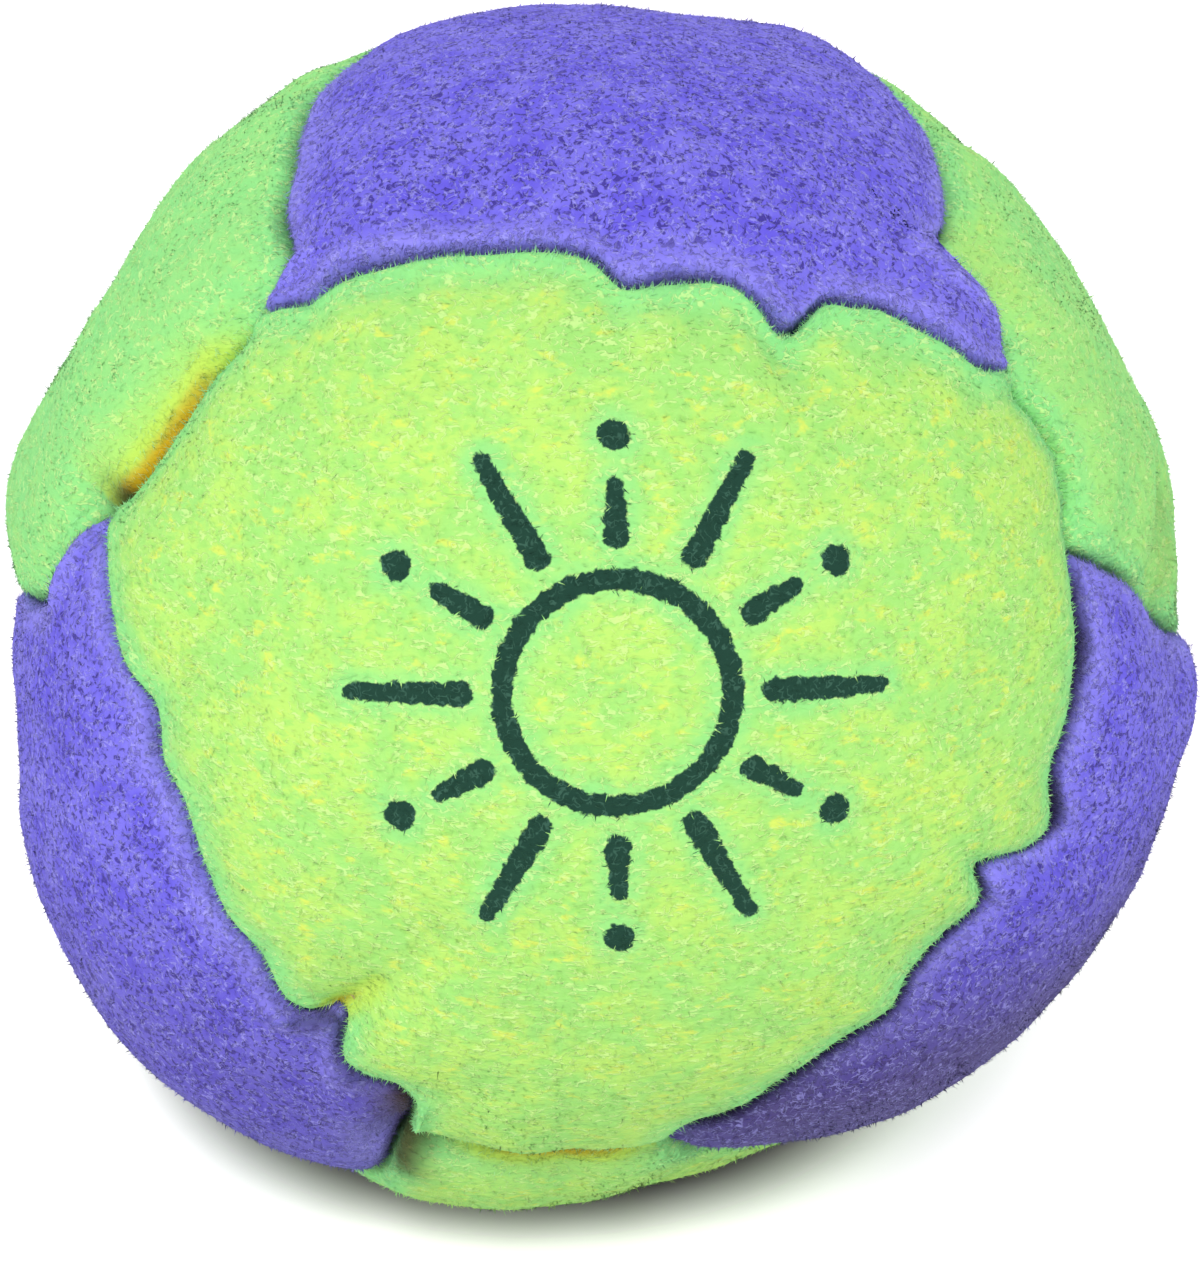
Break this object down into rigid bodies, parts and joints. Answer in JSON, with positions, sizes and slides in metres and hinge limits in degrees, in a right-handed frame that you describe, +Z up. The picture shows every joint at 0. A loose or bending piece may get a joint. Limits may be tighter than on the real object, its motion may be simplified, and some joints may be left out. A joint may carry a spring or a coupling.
{
  "type": "footbag",
  "caption": "Palm-sized kicking bag of synthetic suede: green six-sided and purple three-sided panels sewn into a ball and part filled with sand, resting slightly slumped.",
  "frame": {"origin": "middle of the flat spot that the bag rests on, straight under the ball's centre", "axes": "+Z up; the large front panel faces -Y, with the purple triangles above it and to its lower left and lower right"},
  "size_m": [0.0534, 0.0538, 0.0524],
  "materials": {
    "suede_green": "matte",
    "suede_purple": "matte",
    "thread": "matte",
    "sand": "matte"
  },
  "bodies": {
    "root": {"panel_front": "suede_green", "panel_left_rear": "suede_green", "panel_right_rear": "suede_green", "panel_base": "suede_green", "panel_top": "suede_purple", "panel_left": "suede_purple", "panel_right": "suede_purple", "panel_rear": "suede_purple", "thread_top_front": "thread", "thread_left_front": "thread", "thread_right_front": "thread", "thread_top_left_rear": "thread", "thread_top_right_rear": "thread", "thread_left_left_rear": "thread", "thread_left_base": "thread", "thread_right_right_rear": "thread", "thread_right_base": "thread", "thread_rear_left_rear": "thread", "thread_rear_base": "thread", "thread_front_left_rear": "thread", "thread_front_right_rear": "thread", "thread_front_base": "thread", "thread_rear_halves": "thread", "thread_base_left_rear": "thread", "thread_base_right_rear": "thread", "closing_thread": "thread", "sand_fill": "sand"}
  },
  "joints": []
}
